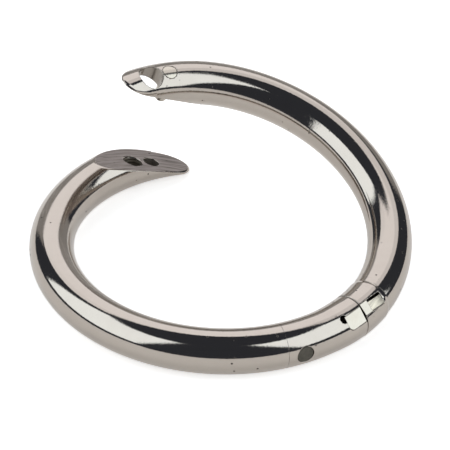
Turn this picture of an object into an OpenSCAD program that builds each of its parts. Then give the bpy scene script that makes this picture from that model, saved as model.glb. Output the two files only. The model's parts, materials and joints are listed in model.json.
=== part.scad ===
// Bull's nose ring: two bent round bars that swivel on a stem in line with the bar.
// The ring lies flat on its long arm, +Z up. The origin is under the ring's centre, at the base.
// +X runs from the ring's centre to the swivel, and the swivel turns about +Y.

/* [Ring] */
// Diameter of the circle along the middle of the bar
ring_d = 60; // [54:1:66]
// Diameter of the bar
bar_d = 8; // [7.8:0.1:8.4]
// How far the short arm stands open from closed, in degrees
open_deg = 18.2; // [0:0.1:85]

/* [Closure] */
// Where the slanted faces cross the bar's middle, in degrees round the ring from the swivel
scarf_at = 201.8; // [195:0.1:206]
// Slope of the slanted faces against the ring's plane, in degrees
scarf_slope = 20; // [18:1:24]
// Distance from the middle of the slanted faces back to the closing screw
screw_back = 2.8; // [2.6:0.1:3.6]
// Distance from the middle of the slanted faces on to the locating pin
pin_ahead = 1.1; // [0.8:0.1:1.6]
// How far the screw and the pin lie inside the circle along the middle of the bar
holes_in = 0.4; // [0:0.1:0.8]
// Diameter of the hole that the closing screw passes through
screw_hole_d = 4.5; // [4.2:0.1:4.8]
// Diameter of the tapped hole at the crests of its thread
tapped_d = 3.3; // [3:0.1:3.5]
// Diameter of the locating pin
locating_pin_d = 2.7; // [2.4:0.1:3]

/* [Swivel] */
// Diameter of the swivel stem
stem_d = 3.2; // [2.8:0.1:3.4]
// How far the stem reaches into the socket
stem_in_socket = 7; // [6:0.1:7.5]
// Length of the socket, along the bar's middle
socket_len = 15; // [14:0.5:18]
// Distance from the swivel to the socket's pin, along the bar's middle
socket_pin_at = 12.2; // [11.5:0.1:12.6]
// Diameter of the socket's pin
socket_pin_d = 3.1; // [2.6:0.1:3.2]
// Length of the collar, along the bar's middle
collar_len = 6.2; // [5.8:0.1:7]
// How much thicker than the bar the collar is, on its diameter
collar_extra = 0.3; // [0.1:0.1:0.4]
// Width of the seam between the collar and the socket
seam = 0.15; // [0.1:0.05:0.2]
// How far the swivel turns from closed to fully open, in degrees
full_turn = 90; // [60:5:100]

/* [Hidden] */
$fn = 96;

ring_r = ring_d / 2;
bar_r = bar_d / 2;
collar_r = bar_r + collar_extra / 2;
axis_z = collar_r;                       // height of the bar's middle above the base
scarf_gap = 0.1;                         // space left between the two slanted faces when closed
far = 40;                                // longer than any cut has to be

// Angles round the ring, in degrees, for lengths along the bar's middle
function round_deg(len) = len / ring_r * 180 / PI;
socket_deg = round_deg(socket_len);
collar_deg = round_deg(collar_len);
long_end = scarf_at + 24;
short_end = 360 - scarf_at + 24;
screw_deg = scarf_at - asin(screw_back / ring_r);
dowel_deg = scarf_at + asin(pin_ahead / ring_r);

// Tip of each arm in plan: straight sides drawn in from a wide circle to a small one
nose_tip = 8.7;                          // from the middle of the slanted faces to the tip
nose_r = 2.6;
nose_at = nose_tip - nose_r;
nose_root_r = 3.72;
nose_root_at = 3.9;

// Tapped hole, and the locating pin's hole below the slanted face
tapped_floor = -2.4;                     // end of the tapped wall, from the bar's middle
drill_deg = 118;
locating_depth = 3.1;
locating_play = 0.08;
pin_tip = 2.85;                          // how far the locating pin stands out of its face
pin_taper = 0.3;                         // how much its radius tapers to the tip
pin_taper_len = 1.45;

// Socket and spigots
spigot_r = 2.55;
spigot_play = 0.05;
spigot_in = 6;                           // length of the long arm's spigot
sleeve_r = 3;                            // the short arm's spigot, inside the collar
sleeve_face = 1;                         // thickness of the collar's front wall
stem_r = stem_d / 2;
stem_play = 0.05;
stem_in_arm = 9;
socket_pin_depth = 5.4;
socket_pin_recess = 0.4;

// Stop key in the socket, seen along its own face: w across the bar, u along it
stop_at = 38.7;                          // round the bar, from outside towards the top
stop_top = 3.72;                         // its flat face, from the bar's middle
stop_w = 1.46;                           // half its width
stop_len = 4.3;
stop_corner = 1.1;                       // radius of its lower far corner
nose_w = 0.8;
nose_from = 1.4;
nose_to = 2.75;
nose_foot = 1.15;
stop_play = 0.03;                        // gap left round the key in its seat
relief_r = 0.72;
relief_u = 4.5;
relief_w = 1.15;
relief_floor = 2.4;

// Groove in the stem that the stop key's nose runs in
neck_r = 1.1;
neck_play = 0.1;
neck_side = 36.5;                        // half the nose's angle with its play, in degrees

// Drive key, which fixes the stem in the short arm
drive_at = 66;
drive_w = 1.15;
drive_len = 5.3;
drive_step = 2;
drive_top = 3.95;
drive_floor = 2.95;
scoop_r = 6.2;                           // round hollow from the step out to the key's far end
drive_foot = 1.2;

// A length of bent bar between two angles, counted counter-clockwise from the swivel
module bent_bar(r, from, to)
    translate([0, 0, axis_z])
        rotate([0, 0, from])
            rotate_extrude(angle = to - from)
                translate([ring_r, 0])
                    circle(r);

// Local frame at an angle round the ring: +X outward, +Y along the bar, Z = 0 at its middle
module at_angle(deg)
    translate([0, 0, axis_z])
        rotate([0, 0, deg])
            translate([ring_r, 0, 0])
                children();

// Swings the short arm's pieces open about the swivel
module opened()
    translate([ring_r, 0, axis_z])
        rotate([0, open_deg, 0])
            translate([-ring_r, 0, -axis_z])
                children();

// Everything above the slanted face (side = 1) or below it (side = -1), beside the closure only
module beyond_scarf(side)
    at_angle(-scarf_at)
        rotate([scarf_slope, 0, 0])
            translate([-far / 4, -far / 2, side > 0 ? -scarf_gap / 2 : -far + scarf_gap / 2])
                cube([far / 2, far, far]);

// An upright post centred on the bar's middle, u along the bar from the slanted faces' middle
module nose_post(u, r)
    at_angle(-scarf_at - asin(u / ring_r))
        translate([0, 0, -far / 2])
            cylinder(r = r, h = far, $fn = 32);

// Cuts a tip to a drawn-in nose in plan; side = 1 for the long arm, -1 for the short arm
module nose_waste(side)
    difference() {
        at_angle(-scarf_at - asin(side * nose_root_at / ring_r))
            translate([-far / 4, side > 0 ? -far / 2 : 0, -far / 2])
                cube([far / 2, far / 2, far]);
        hull() {
            nose_post(side * nose_root_at, nose_root_r);
            nose_post(side * nose_at, nose_r);
        }
    }

// A straight round bore or pin along the swivel; from and to are distances into the long arm
module along_swivel(r, from, to)
    translate([ring_r, 0, axis_z])
        rotate([90, 0, 0])
            translate([0, 0, from])
                cylinder(r = r, h = to - from);

// Frame of a key: +X out of the bar, -Y into the long arm, +Z round the bar towards the top
module key_frame(deg)
    translate([ring_r, 0, axis_z])
        rotate([0, -deg, 0])
            children();

// Stop key's outline, drawn in by play and carried from its foot to its flat face
module stop_block(from, to, play)
    key_frame(stop_at)
        union() {
            translate([from, play - stop_len, stop_corner - stop_w])
                cube([to - from, stop_len - seam / 2 - play, 2 * stop_w - stop_corner - play]);
            translate([from, stop_corner - stop_len, play - stop_w])
                cube([to - from, stop_len - stop_corner - seam / 2, 2 * (stop_w - play)]);
            translate([from, stop_corner - stop_len, stop_corner - stop_w])
                rotate([0, 90, 0])
                    cylinder(r = stop_corner - play, h = to - from);
        }

// Small round pit in the socket, beside the stop key's upper far corner
module relief()
    key_frame(stop_at)
        translate([relief_floor, -relief_u, relief_w])
            rotate([0, 90, 0])
                cylinder(r = relief_r, h = far / 4);

module drive_block(from, len, to)
    key_frame(drive_at)
        translate([from, seam / 2, -drive_w])
            cube([to - from, len - seam / 2, 2 * drive_w]);

module socket_pin_shape(from, to)
    at_angle(-round_deg(socket_pin_at))
        translate([from, 0, 0])
            rotate([0, 90, 0])
                cylinder(d = socket_pin_d, h = to - from);

module long_arm()
    color("#b9b4ac")
        difference() {
            union() {
                bent_bar(bar_r, -long_end, -socket_deg);
                bent_bar(spigot_r, -socket_deg - 1, -socket_deg + round_deg(spigot_in));
            }
            beyond_scarf(1);
            nose_waste(1);
            at_angle(-screw_deg) {
                translate([-holes_in, 0, tapped_floor])
                    cylinder(d = tapped_d, h = far);
                translate([-holes_in, 0, tapped_floor - tapped_d / 2 / tan(drill_deg / 2)])
                    cylinder(r1 = 0, r2 = tapped_d / 2, h = tapped_d / 2 / tan(drill_deg / 2));
            }
            at_angle(-dowel_deg)
                translate([-holes_in, 0, -pin_ahead * tan(scarf_slope) - locating_depth])
                    cylinder(r = locating_pin_d / 2 + locating_play, h = far);
            socket_pin_shape(bar_r - socket_pin_depth, far / 2);
        }

module joint_socket()
    color("#bdb8b0")
        difference() {
            bent_bar(bar_r, -socket_deg, 0);
            translate([ring_r - far / 2, -seam / 2, axis_z - far / 2])
                cube(far);
            bent_bar(spigot_r + spigot_play, -socket_deg - 1,
                     -socket_deg + round_deg(spigot_in) + round_deg(spigot_play));
            along_swivel(stem_r + stem_play, -1, stem_in_socket + 0.2);
            stop_block(0, far / 4, 0);
            relief();
            socket_pin_shape(bar_r - socket_pin_depth, far / 2);
        }

module stop_key()
    color("#c4bfb5")
        union() {
            stop_block(stem_r + stem_play + 0.05, stop_top, stop_play);
            key_frame(stop_at)
                translate([nose_foot, -nose_to, -nose_w])
                    cube([stop_top - nose_foot - 0.5, nose_to - nose_from, 2 * nose_w]);
        }

module socket_pin()
    color("#45423e")
        socket_pin_shape(bar_r - socket_pin_depth, bar_r - socket_pin_recess);

module short_arm()
    opened()
        color("#b9b4ac")
            difference() {
                union() {
                    bent_bar(bar_r, collar_deg, short_end);
                    bent_bar(sleeve_r, round_deg(sleeve_face), collar_deg + 1);
                }
                beyond_scarf(-1);
                nose_waste(-1);
                at_angle(-screw_deg)
                    translate([-holes_in, 0, -far / 2])
                        cylinder(d = screw_hole_d, h = far);
                at_angle(-dowel_deg)
                    translate([-holes_in, 0, -far / 2])
                        cylinder(d = locating_pin_d, h = far);
                along_swivel(stem_r, -stem_in_arm, 0);
                drive_block(0, drive_len, far / 4);
            }

module joint_collar()
    opened()
        color("#c1bcb3")
            difference() {
                bent_bar(collar_r, 0, collar_deg);
                translate([ring_r - far / 2, seam / 2 - far, axis_z - far / 2])
                    cube(far);
                bent_bar(sleeve_r, round_deg(sleeve_face), collar_deg + 1);
                along_swivel(stem_r, -stem_in_arm, 1);
                drive_block(0, drive_len, far / 4);
            }

module swivel_stem()
    opened()
        color("#a9a59c")
            difference() {
                along_swivel(stem_r, -stem_in_arm, stem_in_socket);
                translate([ring_r, 0, axis_z])
                    rotate([90, 0, 0])
                        rotate([0, 0, stop_at - neck_side])
                            rotate_extrude(angle = full_turn + 2 * neck_side)
                                translate([neck_r, nose_from - neck_play])
                                    square([stem_r, nose_to - nose_from + 2 * neck_play]);
                drive_block(drive_foot, drive_len, far / 4);
            }

module drive_key()
    opened()
        color("#c4bfb5")
            difference() {
                drive_block(drive_foot, drive_len, drive_top);
                key_frame(drive_at)
                    intersection() {
                        translate([drive_floor + scoop_r, drive_step, -far / 2])
                            cylinder(r = scoop_r, h = far);
                        translate([0, drive_step, -far / 2])
                            cube(far);
                    }
            }

module locating_pin()
    opened()
        color("#cfcac0")
            intersection() {
                bent_bar(bar_r, short_end - 40, short_end);
                at_angle(-dowel_deg)
                    translate([-holes_in, 0, -pin_ahead * tan(scarf_slope) - pin_tip])
                        union() {
                            cylinder(r1 = locating_pin_d / 2 - pin_taper, r2 = locating_pin_d / 2,
                                     h = pin_taper_len);
                            translate([0, 0, pin_taper_len])
                                cylinder(d = locating_pin_d, h = far / 4);
                        }
            }

long_arm();
short_arm();
joint_socket();
joint_collar();
swivel_stem();
stop_key();
drive_key();
socket_pin();
locating_pin();
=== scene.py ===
"""A bull's nose ring, open: two bent bars of polished nickel on a swivel.

Lengths are worked out in millimetres with z measured from the bar's middle, in the closed
ring, and turned to metres in the row's frame when a surface is made. Each surface is the zero
level of a distance function, found on a grid of lines along the bar, across it and up.
"""
import json
import math

import bpy
import numpy as np
from mathutils import Matrix, Vector


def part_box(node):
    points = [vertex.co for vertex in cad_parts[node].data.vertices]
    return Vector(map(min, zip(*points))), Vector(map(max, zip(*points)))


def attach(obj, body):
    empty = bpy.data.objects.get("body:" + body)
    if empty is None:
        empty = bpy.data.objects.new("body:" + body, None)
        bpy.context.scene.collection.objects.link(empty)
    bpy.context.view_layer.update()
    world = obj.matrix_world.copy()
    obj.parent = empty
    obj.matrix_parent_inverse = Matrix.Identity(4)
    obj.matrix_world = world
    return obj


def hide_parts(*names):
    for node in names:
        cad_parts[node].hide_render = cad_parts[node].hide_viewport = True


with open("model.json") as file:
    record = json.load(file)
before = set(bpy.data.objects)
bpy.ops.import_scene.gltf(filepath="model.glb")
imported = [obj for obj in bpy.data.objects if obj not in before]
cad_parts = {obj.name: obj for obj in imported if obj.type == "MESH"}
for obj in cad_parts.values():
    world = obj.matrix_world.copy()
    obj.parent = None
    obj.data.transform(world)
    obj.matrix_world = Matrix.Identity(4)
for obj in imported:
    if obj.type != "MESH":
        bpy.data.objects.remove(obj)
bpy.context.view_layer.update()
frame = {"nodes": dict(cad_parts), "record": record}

# ---------------------------------------------------------------- sizes, in millimetres
MM = 0.001
swivel = frame["record"]["behaviour"]["joints"][0]
RING_R = swivel["pos_m"][0] / MM  # the bar's middle, from the ring's centre
AXIS_Z = swivel["pos_m"][2] / MM  # height of the bar's middle above the floor
OPEN = math.radians(-swivel["range_deg"][0])  # how far the short arm stands open at rest
arm_low, arm_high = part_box("long_arm")
BAR_R = (arm_high.z - arm_low.z) / MM / 2
LONG, SHORT = -1, 1  # which way round the ring each arm runs from the swivel

SEAM = 0.15
COLLAR_R = 4.15
COLLAR_LEN = 6.2
COLLAR_BEVEL = 0.13  # how much its radius falls over its last stretch
COLLAR_BEVEL_LEN = 0.9
SOCKET_LEN = 15.0
SWELL = 0.12  # how much the socket thickens towards the seam
SWELL_SPAN = (1.5, 7)  # where along it the thickening ends and begins
JOINT_GAP = 0.004  # half the width of the closed joints between arm and socket or collar
JOINT_EDGE = 0.012
SEAM_EDGE = 0.12  # rounding of the two faces at the swivel's seam
SEAT_EDGE = 0.05  # rounding of bores, seats and the keys' feet
KEY_EDGE = 0.06  # rounding of the keys' and the locating pin's faces
HOLE_EDGE = 0.12  # rounding at the long tip's holes
TOUCH = 0.02  # how near a point lies to a hole's wall to count as on it

SCARF_AT = math.radians(201.8)
SCARF_SLOPE = math.radians(20)
SCARF_GAP = 0.1
SCARF_EDGE = 0.16
NEAR_TIP = 0.7  # share of an arm's length past which its slanted face is cut
NOSE_EDGE = {LONG: 0.55, SHORT: 0.7}
SHORT_THINNER = 0.2  # how much the short arm's radius falls near its tip
HOLES_IN = 0.4  # how far the holes lie inside the bar's middle circle
SCREW_BACK = 2.8  # from the slanted faces' middle back to the screw
PIN_AHEAD = 1.1  # and on to the locating pin
SCREW_AT = SCARF_AT - math.asin(SCREW_BACK / RING_R)
PIN_AT = SCARF_AT + math.asin(PIN_AHEAD / RING_R)
PIN_FACE = -PIN_AHEAD * math.tan(SCARF_SLOPE)  # height of the slanted face at the pin

TAPPED_R = 1.65
THREAD_DEPTH = 0.16
THREAD_PITCH = 0.7
TAPPED_FLOOR = -2.4
DRILL_SLOPE = 1 / math.tan(math.radians(59))  # of the drill point at the hole's floor
SCREW_R = 2.25
SCREW_EDGE = 0.14
PIN_R = 1.345
PIN_SUNK = 0.17  # how far its top lies inside the full bar's surface
PIN_HOLE_R = 1.365
PIN_HOLE_EDGE = 0.04
DOWEL_R = 1.43
DOWEL_DEPTH = 3.1
PIN_OUT = 2.85
PIN_TAPER = 0.3  # how much its radius tapers to the tip
PIN_TAPER_LEN = 1.45

STEM_BORE_R = 1.65
STEM_BORE_LEN = 7.2
SOCKET_PIN_AT = 12.2
SOCKET_PIN_R = 1.55
SOCKET_PIN_DEPTH = 5.4
SOCKET_PIN_RECESS = 0.3
SOCKET_PIN_HOLLOW = 0.06  # depth of the punch mark in its end

STOP_AT = math.radians(38.7)
STOP_TOP = 3.72
STOP_W = 1.46
STOP_LEN = 4.3
STOP_CORNER = 1.1  # radius of its lower far corner
STOP_FOOT = 1.7
STOP_SEAT_FLOOR = 1.6
STOP_PLAY = 0.04
RELIEF_U = 4.5  # along the bar from the swivel
RELIEF_W = 1.15  # round the bar, towards the top
RELIEF_R = 0.72
RELIEF_FLOOR = 2.4
DRIVE_AT = math.radians(66)
DRIVE_W = 1.15
DRIVE_LEN = 5.3
DRIVE_STEP = 2.0
DRIVE_TOP = 3.95
DRIVE_FLOOR = 2.95
DRIVE_FOOT = 1.25
DRIVE_PLAY = 0.03
SLOT_FLOOR = 1.2
SLOT_EDGE = 0.07
SEAM_PLAY = 0.02  # how far the keys stay back from the seam
SCOOP_R = 6.2
SCOOP_IN = 0.5  # how far the hollow stops short of the slot's upper wall


# ---------------------------------------------------------------- distances
def carve(a, b, r):
    """Keep what is inside both a and b, with the edge between them rounded to radius r."""
    both = np.hypot(np.maximum(a + r, 0), np.maximum(b + r, 0))
    return np.minimum(np.maximum(a, b), -r) + both


def dig(a, b, r):
    """Take b out of a, with the mouth of the hole rounded to radius r."""
    return carve(a, -b, r)


def smooth(x, low, high):
    """0 below low and 1 above high, with an S curve between."""
    t = np.clip((x - low) / (high - low), 0, 1)
    return t * t * (3 - 2 * t)


def along(p, side):
    """Length along the bar's middle from the swivel: ring radius times the angle round."""
    turn = side * np.arctan2(p[..., 1], p[..., 0])
    return RING_R * (np.mod(turn + 0.5, 2 * math.pi) - 0.5)


def bar(p, radius):
    """Distance to the bent bar: distance to the middle circle, less the bar's radius."""
    return np.hypot(np.hypot(p[..., 0], p[..., 1]) - RING_R, p[..., 2]) - radius


def round_to(p, angle):
    """Coordinates at an angle round the ring: across (outward), along, and up."""
    c, s = math.cos(angle), math.sin(angle)
    return p[..., 0] * c + p[..., 1] * s - RING_R, p[..., 1] * c - p[..., 0] * s, p[..., 2]


def scarf(p):
    """Height above the slanted face, square to it."""
    _, forward, up = round_to(p, -SCARF_AT)
    return up * math.cos(SCARF_SLOPE) - forward * math.sin(SCARF_SLOPE)


def nose(p, side, start=2.75, reach=5.95, width=3.87):
    """Distance to an upright wall whose plan is half an ellipse past start, nothing before."""
    u = RING_R * np.sin(along(p, LONG) / RING_R - SCARF_AT) * -side
    w = np.hypot(p[..., 0], p[..., 1]) - RING_R
    ahead = np.maximum(u - start, 0)
    q = np.sqrt((ahead / reach) ** 2 + (w / width) ** 2) + 1e-9
    slope = np.hypot(ahead / reach**2, w / width**2) / q + 1e-9
    return np.where(u > start, (q - 1) / slope, -9.0)


def hole(p, angle, inward, radius):
    """Distance to an upright round hole at an angle round the ring."""
    across, forward, _ = round_to(p, -angle)
    return np.hypot(across + inward, forward) - radius


def key_frame(p, angle):
    """Coordinates of a key: out of the bar, along the swivel, and round towards the top."""
    x, z = p[..., 0] - RING_R, p[..., 2]
    c, s = math.cos(angle), math.sin(angle)
    return x * c + z * s, p[..., 1], z * c - x * s


def side_pin(p, angle, radius):
    """Distances to a pin pointing out of the ring: round it, and outward from the centre."""
    across, forward, up = round_to(p, angle)
    return np.hypot(forward, up) - radius, across + RING_R


def thread(p):
    """A screw thread: the hole's radius rises and falls once for each pitch and each turn."""
    across, forward, up = round_to(p, -SCREW_AT)
    turn = np.arctan2(forward, across + HOLES_IN) / (2 * math.pi)
    wave = np.abs(np.mod(up / THREAD_PITCH - turn, 1.0) * 2 - 1)
    return TAPPED_R + THREAD_DEPTH * wave


def long_bar(p):
    """Long arm: bent bar, cut by the slanted face and the nose, drilled for screw and pin."""
    s = along(p, LONG)
    d = bar(p, BAR_R)
    d = carve(d, SOCKET_LEN + JOINT_GAP - s, JOINT_EDGE)
    tip = s > NEAR_TIP * RING_R * SCARF_AT
    above = np.where(tip, scarf(p), -9) + SCARF_GAP / 2
    d = np.where(tip, carve(d, above, SCARF_EDGE), d)
    d = carve(d, nose(p, LONG), NOSE_EDGE[LONG])
    off = hole(p, SCREW_AT, HOLES_IN, 0)
    cone = TAPPED_FLOOR - (TAPPED_R - off) * DRILL_SLOPE
    tapped = np.maximum(off - thread(p), cone - p[..., 2])
    d = dig(d, tapped, HOLE_EDGE)
    dowel = np.maximum(hole(p, PIN_AT, HOLES_IN, DOWEL_R), PIN_FACE - DOWEL_DEPTH - p[..., 2])
    return dig(d, dowel, HOLE_EDGE)


def short_bar(p):
    """Short arm: bent bar drawn in near its tip, cut and drilled for the screw and the pin."""
    s = along(p, SHORT)
    full = RING_R * (2 * math.pi - SCARF_AT)
    radius = BAR_R - SHORT_THINNER * smooth(s, full - 9, full + 3)
    d = bar(p, radius)
    d = carve(d, COLLAR_LEN + JOINT_GAP - s, JOINT_EDGE)
    tip = s > NEAR_TIP * full
    below = SCARF_GAP / 2 - np.where(tip, scarf(p), 9)
    d = np.where(tip, carve(d, below, SCARF_EDGE), d)
    d = carve(d, nose(p, SHORT), NOSE_EDGE[SHORT])
    d = dig(d, hole(p, SCREW_AT, HOLES_IN, SCREW_R), SCREW_EDGE)
    return dig(d, hole(p, PIN_AT, HOLES_IN, PIN_HOLE_R), PIN_HOLE_EDGE)


def stop_outline(p, shrink):
    """Distance to the stop key's outline: a rectangle with its lower far corner rounded."""
    _, y, w = key_frame(p, STOP_AT)
    past_end = np.maximum(STOP_CORNER - STOP_LEN - y, 0)
    past_side = np.maximum(STOP_CORNER - STOP_W - w, 0)
    box = np.maximum(np.abs(w) - STOP_W, -STOP_LEN - y)
    return np.maximum(box, np.hypot(past_end, past_side) - STOP_CORNER) + shrink


def relief(p):
    """Distance to the small round pit beside the stop key's upper far corner."""
    out, y, w = key_frame(p, STOP_AT)
    pit = np.hypot(y + RELIEF_U, w - RELIEF_W) - RELIEF_R
    return np.maximum(pit, RELIEF_FLOOR - out)


def socket(p):
    """Socket of the swivel: bar that thickens to the seam, bored, with a key seat and a pin."""
    s = along(p, LONG)
    d = bar(p, BAR_R + SWELL * (1 - smooth(s, *SWELL_SPAN)))
    d = carve(d, p[..., 1] + SEAM / 2, SEAM_EDGE)
    d = carve(d, s - SOCKET_LEN + JOINT_GAP, JOINT_EDGE)
    bore = np.hypot(p[..., 0] - RING_R, p[..., 2]) - STEM_BORE_R
    d = dig(d, np.maximum(bore, -STEM_BORE_LEN - p[..., 1]), SEAT_EDGE)
    out, _, _ = key_frame(p, STOP_AT)
    d = dig(d, np.maximum(stop_outline(p, 0), STOP_SEAT_FLOOR - out), SEAT_EDGE)
    d = dig(d, relief(p), SEAT_EDGE)
    pin, reach = side_pin(p, -SOCKET_PIN_AT / RING_R, SOCKET_PIN_R + 0.03)
    return dig(d, np.maximum(pin, RING_R + BAR_R - SOCKET_PIN_DEPTH - reach), 0.1)


def collar(p):
    """Collar: thicker bar with a bevelled end, a flat seam face and the drive key's slot."""
    s = along(p, SHORT)
    d = bar(p, COLLAR_R - COLLAR_BEVEL * smooth(s, COLLAR_LEN - COLLAR_BEVEL_LEN, COLLAR_LEN))
    d = carve(d, SEAM / 2 - p[..., 1], SEAM_EDGE)
    d = carve(d, s - COLLAR_LEN + JOINT_GAP, JOINT_EDGE)
    out, y, w = key_frame(p, DRIVE_AT)
    slot = np.maximum(np.maximum(np.abs(w) - DRIVE_W, y - DRIVE_LEN), SLOT_FLOOR - out)
    return dig(d, slot, SLOT_EDGE)


def stop_key(p):
    """Stop key: the seat's outline, standing up to a flat face."""
    out, y, _ = key_frame(p, STOP_AT)
    d = carve(stop_outline(p, STOP_PLAY), out - STOP_TOP, KEY_EDGE)
    d = carve(d, y + SEAM / 2 + SEAM_PLAY, KEY_EDGE)
    return carve(d, STOP_FOOT - out, SEAT_EDGE)


def drive_key(p):
    """Drive key: flat beside the seam, then a round hollow that rises to the far end."""
    out, y, w = key_frame(p, DRIVE_AT)
    half = DRIVE_W - DRIVE_PLAY
    d = carve(np.abs(w) - half, y - DRIVE_LEN + DRIVE_PLAY, SEAT_EDGE)
    d = carve(d, SEAM / 2 + SEAM_PLAY - y, KEY_EDGE)
    reach = np.clip(y - DRIVE_STEP, 0, DRIVE_LEN)
    scoop = DRIVE_FLOOR + SCOOP_R - np.sqrt(SCOOP_R**2 - reach**2)
    low = smooth(y, DRIVE_STEP - 0.12, DRIVE_STEP + 0.12)
    top = DRIVE_TOP + (scoop - DRIVE_TOP) * low
    d = carve(d, w - half + SCOOP_IN * low, SEAT_EDGE)
    return carve(carve(d, out - top, KEY_EDGE), DRIVE_FOOT - out, SEAT_EDGE)


def socket_pin(p):
    """Socket's pin: a round pin with a slightly hollow, punched end below the surface."""
    pin, reach = side_pin(p, -SOCKET_PIN_AT / RING_R, SOCKET_PIN_R)
    hollow = SOCKET_PIN_HOLLOW * np.minimum((pin / SOCKET_PIN_R + 1) ** 2, 1)
    outside = RING_R + BAR_R
    d = carve(pin, reach - (outside - SOCKET_PIN_RECESS + hollow), 0.12)
    return carve(d, outside - SOCKET_PIN_DEPTH - reach, SEAT_EDGE)


def locating_pin(p):
    """Locating pin: flush with the bar on top, standing out of the slanted face below."""
    tip = PIN_FACE - PIN_OUT
    taper = np.clip((tip + PIN_TAPER_LEN - p[..., 2]) / PIN_TAPER_LEN, 0, 1)
    pin = hole(p, PIN_AT, HOLES_IN, PIN_R) + PIN_TAPER * taper
    d = carve(pin, bar(p, BAR_R - PIN_SUNK), KEY_EDGE)
    return carve(d, tip - p[..., 2], 0.2)


# ---------------------------------------------------------------- surfaces
def lines(*stretches):
    """Places from (start, end, step) stretches, each split evenly."""
    parts = [
        np.linspace(a, b, max(2, int(round((b - a) / step)) + 1))[:-1] for a, b, step in stretches
    ]
    return np.concatenate(parts + [[stretches[-1][1]]])


def slope_of(dist, p, h=0.004):
    """Gradient of a distance function by central differences."""
    g = np.empty_like(p)
    for i in range(3):
        step = np.zeros(3)
        step[i] = h
        g[..., i] = (dist(p + step) - dist(p - step)) / (2 * h)
    return g


def net(dist, place, a, b, c):
    """Skin of a distance function on the grid a by b by c, carried into space by place.

    Each grid cell that the surface passes through gets one point, the mean of the crossings on
    the cell's edges. Each grid edge that the surface crosses gets one face, between the four
    cells round it. The points are then slid down the gradient on to the surface itself.
    """
    grid = np.stack(np.meshgrid(a, b, c, indexing="ij"), -1)
    f = dist(place(grid))
    inside = f < 0
    n = np.array(f.shape)
    total = np.zeros(tuple(n - 1) + (3,))
    count = np.zeros(tuple(n - 1))
    crossings = []
    for axis in range(3):
        low = [slice(None)] * 3
        high = [slice(None)] * 3
        low[axis], high[axis] = slice(0, -1), slice(1, None)
        low, high = tuple(low), tuple(high)
        cut = inside[low] != inside[high]
        span = np.where(cut, f[low] - f[high], 1.0)
        t = np.where(cut, f[low] / span, 0.0)[..., None]
        where = grid[low] * (1 - t) + grid[high] * t
        others = [i for i in range(3) if i != axis]
        for da in (0, 1):
            for db in (0, 1):
                src = [slice(None)] * 3
                src[others[0]] = slice(da, da + n[others[0]] - 1)
                src[others[1]] = slice(db, db + n[others[1]] - 1)
                src = tuple(src)
                total += where[src] * cut[src][..., None]
                count += cut[src]
        crossings.append((axis, others, np.argwhere(cut)))
    used = count > 0
    index = np.full(used.shape, -1, dtype=np.int64)
    index[used] = np.arange(used.sum())
    points = place(total[used] / count[used][:, None])
    faces = []
    for axis, others, edges in crossings:
        corners = []
        for da, db in ((-1, -1), (0, -1), (0, 0), (-1, 0)):
            cell = edges.copy()
            cell[:, others[0]] += da
            cell[:, others[1]] += db
            corners.append(index[cell[:, 0], cell[:, 1], cell[:, 2]])
        faces.append(np.stack(corners, -1))
    faces = np.concatenate(faces)
    reach = 0.5 * min(np.diff(b).min(), np.diff(c).min())
    for _ in range(8):
        g = slope_of(dist, points)
        step = dist(points)[:, None] * g / np.maximum((g**2).sum(-1, keepdims=True), 0.25)
        far = np.linalg.norm(step, axis=-1, keepdims=True)
        points = points - step * np.minimum(1, reach / np.maximum(far, 1e-9))
    normals = slope_of(dist, points)
    normals /= np.linalg.norm(normals, axis=-1, keepdims=True) + 1e-12
    p0, p1, p2, p3 = (points[faces[:, i]] for i in range(4))
    turned = (np.cross(p2 - p0, p3 - p1) * normals[faces].sum(1)).sum(-1) < 0
    faces[turned] = faces[turned][:, ::-1]
    return points, faces, normals


def swing(v, side):
    """Directions of the closed ring, turned about the swivel as their side stands at rest."""
    turned = v.copy()
    if side == SHORT:
        turned[..., 0] = v[..., 0] * math.cos(OPEN) + v[..., 2] * math.sin(OPEN)
        turned[..., 2] = v[..., 2] * math.cos(OPEN) - v[..., 0] * math.sin(OPEN)
    return turned


def to_row(p, side):
    """Closed-ring millimetres to the row's metres; the short side is swung open."""
    centre = np.array((RING_R, 0, 0))
    return (swing(p - centre, side) + centre + (0, 0, AXIS_Z)) * MM


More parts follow.
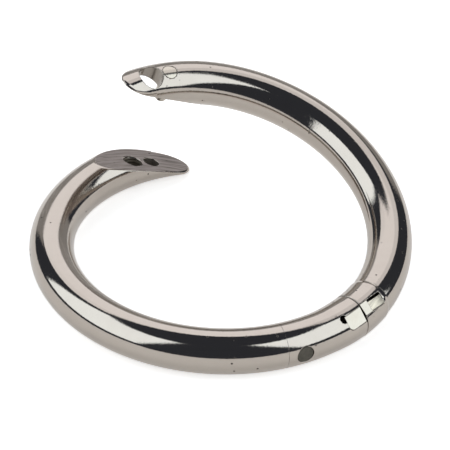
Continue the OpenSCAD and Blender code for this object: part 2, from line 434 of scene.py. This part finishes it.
def make_piece(name, dist, place, a, b, c, side, body, node, material, marks=None):
    """Make a piece's mesh from its distance function, with its normals and surface marks."""
    points, faces, normals = net(dist, place, a, b, c)
    mesh = bpy.data.meshes.new(name)
    mesh.vertices.add(len(points))
    mesh.vertices.foreach_set("co", to_row(points, side).astype(np.float32).ravel())
    mesh.loops.add(faces.size)
    mesh.loops.foreach_set("vertex_index", faces.astype(np.int32).ravel())
    mesh.polygons.add(len(faces))
    mesh.polygons.foreach_set("loop_start", np.arange(0, faces.size, 4, dtype=np.int32))
    mesh.update(calc_edges=True)
    mesh.validate()
    mesh.polygons.foreach_set("use_smooth", np.ones(len(mesh.polygons), dtype=bool))
    mesh.normals_split_custom_set_from_vertices(swing(normals, side))
    # Along the bar, round it, and out from its middle, so that patterns follow the bend
    s = along(points, side)
    rho = np.hypot(points[:, 0], points[:, 1]) - RING_R
    beta = np.arctan2(points[:, 2], rho)
    lay = np.stack([s, BAR_R * beta, np.hypot(rho, points[:, 2])], -1)
    mesh.attributes.new("lay", "FLOAT_VECTOR", "POINT").data.foreach_set(
        "vector", lay.astype(np.float32).ravel()
    )
    # The same with a straight measure across the bar, for lines that don't bend round it
    flat = np.stack([s, rho, np.zeros(len(s))], -1)
    mesh.attributes.new("flat", "FLOAT_VECTOR", "POINT").data.foreach_set(
        "vector", flat.astype(np.float32).ravel()
    )
    for mark, values in (marks(points, normals) if marks else {}).items():
        mesh.attributes.new(mark, "FLOAT", "POINT").data.foreach_set(
            "value", np.asarray(values, dtype=np.float32)
        )
    mesh.materials.append(material)
    piece = bpy.data.objects.new(name, mesh)
    bpy.context.collection.objects.link(piece)
    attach(piece, body)
    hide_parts(node)
    return piece


def bar_grid(side):
    """Grid of an arm: length along the bar, across it, and up, carried round the ring."""

    def place(g):
        angle = side * g[..., 0] / RING_R
        rho = RING_R + g[..., 1]
        return np.stack([rho * np.cos(angle), rho * np.sin(angle), g[..., 2]], -1)

    return place


def key_grid(angle):
    """Grid of a key: out of the bar, along the swivel, and round towards the top."""
    c, s = math.cos(angle), math.sin(angle)

    def place(g):
        return np.stack(
            [RING_R + g[..., 0] * c - g[..., 2] * s, g[..., 1], g[..., 0] * s + g[..., 2] * c], -1
        )

    return place


def post_grid(angle):
    """Grid of a pin: across the bar, along it, and up, at an angle round the ring."""
    c, s = math.cos(angle), math.sin(angle)

    def place(g):
        x = RING_R + g[..., 0]
        return np.stack([x * c - g[..., 1] * s, x * s + g[..., 1] * c, g[..., 2]], -1)

    return place


# ---------------------------------------------------------------- finishes
def hex_colour(code):
    """An sRGB hex colour as linear red, green, blue and alpha."""
    parts = [int(code[i : i + 2], 16) / 255 for i in (1, 3, 5)]
    linear = (v / 12.92 if v <= 0.04045 else ((v + 0.055) / 1.055) ** 2.4 for v in parts)
    return (*linear, 1.0)


def add(tree, kind, links=None, **settings):
    """Add a node; settings name its inputs or its own values, links name what feeds an input."""
    node = tree.nodes.new(kind)
    for key, value in settings.items():
        if hasattr(node, key):
            setattr(node, key, value)
        else:
            node.inputs[key.replace("_", " ")].default_value = value
    for key, source in (links or {}).items():
        tree.links.new(source, node.inputs[key])
    return node


def new_material(name):
    """An empty node material and its output node."""
    material = bpy.data.materials.new(name)
    material.use_nodes = True
    tree = material.node_tree
    tree.nodes.clear()
    return material, tree, tree.nodes.new("ShaderNodeOutputMaterial")


def span(tree, value, start=(0.0, 1.0), end=(0.0, 1.0)):
    """A value carried from the range start to the range end, and held at both ends."""
    node = add(tree, "ShaderNodeMapRange", {"Value": value})
    for key, number in zip(("From Min", "From Max", "To Min", "To Max"), start + end):
        node.inputs[key].default_value = number
    return node.outputs[0]


def blend_colour(tree, share, a, b):
    """A colour between a and b, each a hex code or another node's output."""
    node = add(tree, "ShaderNodeMix", {0: share}, data_type="RGBA")
    for i, colour in ((6, a), (7, b)):
        if isinstance(colour, str):
            node.inputs[i].default_value = hex_colour(colour)
        else:
            tree.links.new(colour, node.inputs[i])
    return node.outputs[2]


def blend_value(tree, share, a, b):
    """A value between the output a and b, which is an output or a number."""
    node = add(tree, "ShaderNodeMix", {0: share, 2: a})
    if isinstance(b, float):
        node.inputs[3].default_value = b
    else:
        tree.links.new(b, node.inputs[3])
    return node.outputs[0]


def stretched(tree, vector, by):
    """A vector with its three parts multiplied."""
    node = add(tree, "ShaderNodeVectorMath", {0: vector}, operation="MULTIPLY")
    node.inputs[1].default_value = by
    return node.outputs[0]


def nickel(name, bright, tarnish, ground, polish):
    """Nickel plate. Polished it mirrors the room; ground faces are satin with fine lines.

    The attributes ground and bore, from 0 to 1, say where each finish lies, and grime says where
    shade is painted dark into recesses. A piece without one of them has none of that finish.
    """
    material, tree, out = new_material(name)
    lay = add(tree, "ShaderNodeAttribute", attribute_name="lay").outputs["Vector"]
    flat = add(tree, "ShaderNodeAttribute", attribute_name="flat").outputs["Vector"]
    masks = {
        m: add(tree, "ShaderNodeAttribute", attribute_name=m).outputs["Fac"]
        for m in ("ground", "bore", "grime")
    }
    # Buffing haze: soft patches about 3 mm across
    haze = add(tree, "ShaderNodeTexNoise", {"Vector": lay}, Scale=0.35, Detail=4.0, Roughness=0.6)
    haze = haze.outputs["Fac"]
    # Fine buffing marks run round the bar: 0.2 mm apart, under a millimetre long
    run = stretched(tree, lay, (2.2, 0.8, 0.8))
    scratch = add(tree, "ShaderNodeTexNoise", {"Vector": run}, Scale=2.2, Detail=3.0)
    # Pits in the plate: sparse dots about 0.3 mm across, in some places only
    pit = add(tree, "ShaderNodeTexVoronoi", {"Vector": lay}, Scale=0.55, Randomness=1.0)
    pit_mask = span(tree, pit.outputs["Distance"], start=(0.13, 0.06))
    some = add(tree, "ShaderNodeTexNoise", {"Vector": lay}, Scale=0.12, Detail=2.0)
    some_mask = span(tree, some.outputs["Fac"], start=(0.5, 0.56))
    pits = add(tree, "ShaderNodeMath", {0: pit_mask, 1: some_mask}, operation="MULTIPLY")
    # Grinding lines on the slanted faces: some 0.3 mm apart, along the face
    cut = stretched(tree, flat, (0.07, 1.6, 0.0))
    grinding = add(tree, "ShaderNodeTexNoise", {"Vector": cut}, Scale=2.0, Detail=5.0)
    grinding = grinding.outputs["Fac"]

    plate = blend_colour(tree, haze, bright, tarnish)
    streaks = blend_colour(tree, span(tree, grinding, start=(0.3, 0.55)), "#5f5650", ground)
    face = blend_colour(tree, masks["ground"], plate, streaks)
    inner = blend_colour(tree, masks["bore"], face, "#6d6356")
    # Painted shade in recesses, from the grime attribute, and the real pits in the plate: the
    # stronger of the two darkens the colour and dulls it
    shade_and_pit_inputs = {0: masks["grime"], 1: pits.outputs[0]}
    pits_and_painted_shade = add(tree, "ShaderNodeMath", shade_and_pit_inputs, operation="MAXIMUM").outputs[0]

    mirror = span(tree, haze, end=(polish, polish + 0.05))
    satin = span(tree, grinding, end=(0.42, 0.62))
    rough = blend_value(tree, masks["ground"], mirror, satin)
    rough = blend_value(tree, masks["bore"], rough, 0.3)

    # Bump heights in metres: buffing marks up to 8 microns, grinding lines up to 30
    height = {"Height": scratch.outputs["Fac"]}
    marks = add(tree, "ShaderNodeBump", height, Strength=0.4, Distance=0.00002)
    height = {"Height": grinding, "Normal": marks.outputs[0], "Strength": masks["ground"]}
    normal = add(tree, "ShaderNodeBump", height, Distance=0.00003)
    shader = add(
        tree,
        "ShaderNodeBsdfPrincipled",
        {
            "Base Color": blend_colour(tree, pits_and_painted_shade, inner, "#2b2722"),
            "Roughness": blend_value(tree, pits_and_painted_shade, rough, 0.7),
            "Normal": normal.outputs[0],
            # Old oil and soil in the bores hide most of the metal
            "Metallic": span(tree, masks["bore"], end=(1.0, 0.15)),
        },
    )
    tree.links.new(shader.outputs[0], out.inputs[0])
    return material


def dark_steel(name, base, pale):
    """Bare steel, cut and punched: dull grey with a mottled skin."""
    material, tree, out = new_material(name)
    spot = add(tree, "ShaderNodeTexCoord").outputs["Object"]
    # Mottling about 0.6 mm across
    mottle = add(tree, "ShaderNodeTexNoise", {"Vector": spot}, Scale=1600.0, Detail=5.0)
    mottle = mottle.outputs["Fac"]
    high = add(tree, "ShaderNodeBump", {"Height": mottle}, Strength=0.5, Distance=0.00005)
    shader = add(
        tree,
        "ShaderNodeBsdfPrincipled",
        {
            "Base Color": blend_colour(tree, mottle, base, pale),
            "Roughness": span(tree, mottle, end=(0.4, 0.65)),
            "Normal": high.outputs[0],
        },
        Metallic=0.85,
    )
    tree.links.new(shader.outputs[0], out.inputs[0])
    return material


polished_nickel = nickel("polished_nickel_plate", "#b1a89f", "#aaa097", "#a79c97", 0.05)
# The keys' pale cream ground colour is painted light: it shows only in the drive key's hollow,
# where it stands in for light reflected inside the pocket
key_nickel_with_painted_light = nickel("filed_nickel_key_with_painted_light", "#bbb3a8", "#b3a99c", "#ece0cc", 0.12)
pin_steel = dark_steel("oxidised_steel_pin", "#3d3a35", "#6a655c")
stem_steel = dark_steel("turned_steel_stem", "#77736c", "#8e8a82")


# ---------------------------------------------------------------- pieces
def arm_marks(side):
    """Where an arm is ground and bored, from the distances to its cuts."""

    def marks(p, n):
        height = scarf(p)
        square = np.abs((slope_of(scarf, p) * n).sum(-1)) > 0.97
        near = np.abs(height) - SCARF_GAP / 2 < 0.03
        if side == LONG:
            screw = hole(p, SCREW_AT, HOLES_IN, TAPPED_R + THREAD_DEPTH)
            pin = hole(p, PIN_AT, HOLES_IN, DOWEL_R)
            deep = smooth(-height, 0.05, 0.7)
            bore = np.where(screw < TOUCH, deep, np.where(pin < TOUCH, 0.8 * deep, 0.0))
        else:
            bore = np.where(hole(p, SCREW_AT, HOLES_IN, SCREW_R) < TOUCH, 0.45, 0.0)
        return {"ground": np.where(square & near, 1.0, 0.0), "bore": bore}

    return marks


def socket_marks(p, n):
    """Painted shade in the round pit and down the gap beside the stop key: these recesses are drawn
    dark.
    """
    below = bar(p, BAR_R) < -0.12
    seat = (stop_outline(p, 0) < 0.05) & below & (p[:, 1] < -SEAM)
    return {"grime": np.where((relief(p) < 0.04) | seat, 1.0, 0.0)}


def collar_marks(p, n):
    """Painted shade on the wall of the drive key's slot: the recess is drawn dark and dull."""
    _, y, w = key_frame(p, DRIVE_AT)
    wall = (np.abs(w) < DRIVE_W + 0.04) & (y < DRIVE_LEN + 0.04) & (bar(p, COLLAR_R) < -0.12)
    return {"grime": np.where(wall & (p[:, 1] > SEAM), 0.8, 0.0)}


def drive_marks(p, n):
    """The drive key's hollow is milled, so it is satin; its pale warm colour there is painted
    light, standing in for light reflected inside the pocket.
    """
    return {"ground": smooth(key_frame(p, DRIVE_AT)[1], DRIVE_STEP, DRIVE_STEP + 0.2) * 0.8}


# Grid lines across a bar and up it
SECTION = np.arange(-4.5, 4.5001, 0.15)
SECTION_FINE = np.arange(-4.5, 4.5001, 0.12)


def arm_lines(start, tip):
    """Grid lines along an arm: close at its joint and at its tip, wide between them."""
    joint = (start - 0.1, start + 0.1, 0.02), (start + 0.1, start + 0.6, 0.1)
    return lines(*joint, (start + 0.6, tip - 13.5, 0.8), (tip - 13.5, tip + 10, 0.14))


long_s = arm_lines(SOCKET_LEN, RING_R * SCARF_AT)
make_piece(
    "long_arm_bar", long_bar, bar_grid(LONG), long_s, SECTION, SECTION, LONG,
    "long_side", "long_arm", polished_nickel, arm_marks(LONG),
)
short_s = arm_lines(COLLAR_LEN, RING_R * (2 * math.pi - SCARF_AT))
make_piece(
    "short_arm_bar", short_bar, bar_grid(SHORT), short_s, SECTION, SECTION, SHORT,
    "short_side", "short_arm", polished_nickel, arm_marks(SHORT),
)
socket_s = lines(
    (-0.3, 5.4, 0.1), (5.4, 10.2, 0.4), (10.2, 14.2, 0.12), (14.2, 14.9, 0.14), (14.9, 15.1, 0.02)
)
make_piece(
    "swivel_socket", socket, bar_grid(LONG), socket_s, SECTION_FINE, SECTION_FINE, LONG,
    "long_side", "joint_socket", polished_nickel, socket_marks,
)
collar_s = lines((-0.3, 6.1, 0.1), (6.1, 6.3, 0.02))
make_piece(
    "swivel_collar", collar, bar_grid(SHORT), collar_s, SECTION_FINE, SECTION_FINE, SHORT,
    "short_side", "joint_collar", polished_nickel, collar_marks,
)
make_piece(
    "stop_key_block", stop_key, key_grid(STOP_AT), np.arange(1.4, 4.01, 0.07),
    np.arange(-4.8, 0.21, 0.07), np.arange(-1.8, 1.81, 0.07), LONG,
    "long_side", "stop_key", key_nickel_with_painted_light,
)
make_piece(
    "drive_key_block", drive_key, key_grid(DRIVE_AT), np.arange(1.0, 4.21, 0.07),
    np.arange(-0.2, 5.61, 0.07), np.arange(-1.5, 1.51, 0.07), SHORT,
    "short_side", "drive_key", key_nickel_with_painted_light, drive_marks,
)
make_piece(
    "socket_cross_pin", socket_pin, post_grid(-SOCKET_PIN_AT / RING_R), np.arange(-1.8, 4.31, 0.09),
    np.arange(-1.9, 1.91, 0.09), np.arange(-1.9, 1.91, 0.09), LONG,
    "long_side", "socket_pin", pin_steel,
)
make_piece(
    "tip_locating_pin", locating_pin, post_grid(-PIN_AT), np.arange(-2.3, 1.61, 0.08),
    np.arange(-1.9, 1.91, 0.08), np.arange(-3.7, 4.31, 0.08), SHORT,
    "short_side", "locating_pin", key_nickel_with_painted_light,
)
stem = frame["nodes"]["swivel_stem"]
stem.data.materials.clear()
stem.data.materials.append(stem_steel)

# ---------------------------------------------------------------- camera
camera_data = bpy.data.cameras.new("view")
camera_data.lens = 280
camera_data.sensor_width = 36
camera_data.clip_end = 10
camera = bpy.data.objects.new("view", camera_data)
bpy.context.collection.objects.link(camera)
AIM = Vector((-3.715, 5.803, 4.15)) * MM
FAR = 630.85 * MM
forward = Vector((-0.5126, 0.6249, -0.5888)).normalized()
right = Vector((0.7581, 0.6514, 0.0313)).normalized()
up = right.cross(forward)
camera.matrix_world = Matrix.Translation(AIM - forward * FAR) @ Matrix(
    (
        (right.x, up.x, -forward.x, 0),
        (right.y, up.y, -forward.y, 0),
        (right.z, up.z, -forward.z, 0),
        (0, 0, 0, 1),
    )
)
bpy.context.scene.camera = camera

# ---------------------------------------------------------------- floor and light
FRONT = math.atan2(-forward.y, -forward.x)  # heading from the ring towards the viewer
CARD_FAR = 1.5  # metres from the ring
CARD_LINES = 25  # grid lines each way across a sheet


def card(name, corners, strength, colour):
    """A softly lit sheet round the ring, given by four corners as headings and heights.

    Corners run bottom left, bottom right, top right, top left, in degrees from the viewer's
    side. Points between them are blended across and up, and set at one distance from the ring.
    """
    u, v = np.meshgrid(np.linspace(0, 1, CARD_LINES), np.linspace(0, 1, CARD_LINES), indexing="ij")
    weight = np.stack([(1 - u) * (1 - v), u * (1 - v), u * v, (1 - u) * v], -1)
    angle = np.radians(weight @ np.array(corners, float))
    h, e = FRONT + angle[..., 0], angle[..., 1]
    points = CARD_FAR * np.stack([np.cos(e) * np.cos(h), np.cos(e) * np.sin(h), np.sin(e)], -1)
    n = np.arange(CARD_LINES**2).reshape(CARD_LINES, CARD_LINES)
    faces = np.stack([n[:-1, :-1], n[:-1, 1:], n[1:, 1:], n[1:, :-1]], -1).reshape(-1, 4)
    mesh = bpy.data.meshes.new(name)
    mesh.from_pydata(points.reshape(-1, 3).tolist(), [], faces.tolist())
    material, tree, out = new_material(name + "_cloth")
    glow = add(tree, "ShaderNodeEmission", Color=hex_colour(colour), Strength=strength)
    tree.links.new(glow.outputs[0], out.inputs[0])
    mesh.materials.append(material)
    sheet = bpy.data.objects.new(name, mesh)
    bpy.context.collection.objects.link(sheet)
    sheet.visible_camera = False


# Two large lit sheets in front, three behind, and a dim wall with a paler strip below those
COOL, PLAIN, WHITE = "#eef9ff", "#f9fbff", "#ffffff"
for name, strength, colour, corners in (
    ("left_box", 2.1, COOL, [(-111, 8.5), (-43, 8.5), (-28, 59), (-111, 61)]),
    ("right_box", 2.05, COOL, [(47, 10), (106, 12), (106, 60), (29, 61)]),
    ("back_box", 1.6, PLAIN, [(150, 29), (214, 25), (214, 64), (150, 66)]),
    ("back_box_left", 1.5, PLAIN, [(214, 27), (234, 47), (234, 60), (214, 64)]),
    ("back_box_right", 1.3, PLAIN, [(122, 54), (150, 30), (150, 66), (122, 61)]),
    ("back_wall", 0.4, WHITE, [(140, 0.5), (220, 0.5), (220, 27), (140, 27)]),
    ("back_low", 0.9, WHITE, [(158, 0.6), (212, 0.6), (209, 23), (159, 24)]),
):
    card(name, corners, strength, colour)

FLOOR_SIZE = 3.0
corner = FLOOR_SIZE * np.array([(-1, -1, 0), (1, -1, 0), (1, 1, 0), (-1, 1, 0)])
floor_mesh = bpy.data.meshes.new("floor")
floor_mesh.from_pydata(corner.tolist(), [], [(0, 1, 2, 3)])
floor = bpy.data.objects.new("floor", floor_mesh)
bpy.context.collection.objects.link(floor)
paper, tree, out = new_material("matt_white_paper")
shader = add(tree, "ShaderNodeBsdfPrincipled", Roughness=0.9)
shader.inputs["Base Color"].default_value = hex_colour("#f3eeea")
shader.inputs["Emission Color"].default_value = (1, 1, 1, 1)
# It glows a little, and more where it is seen directly, so that shadows on it stay faint
seen = add(tree, "ShaderNodeLightPath").outputs["Is Camera Ray"]
tree.links.new(span(tree, seen, end=(0.33, 0.62)), shader.inputs["Emission Strength"])
tree.links.new(shader.outputs[0], out.inputs[0])
floor_mesh.materials.append(paper)

# A dark room round the lit sheets; seen directly it is as pale as the floor
world = bpy.data.worlds.new("room")
world.use_nodes = True
tree = world.node_tree
seen = add(tree, "ShaderNodeLightPath").outputs["Is Camera Ray"]
dark = tree.nodes["Background"]
dark.inputs["Color"].default_value = (0.050, 0.057, 0.072, 1)
pale = add(tree, "ShaderNodeBackground", Color=(0.9, 0.9, 0.9, 1))
either = add(tree, "ShaderNodeMixShader", {0: seen, 1: dark.outputs[0], 2: pale.outputs[0]})
tree.links.new(either.outputs[0], tree.nodes["World Output"].inputs[0])
bpy.context.scene.world = world
bpy.context.scene.view_settings.view_transform = "Standard"
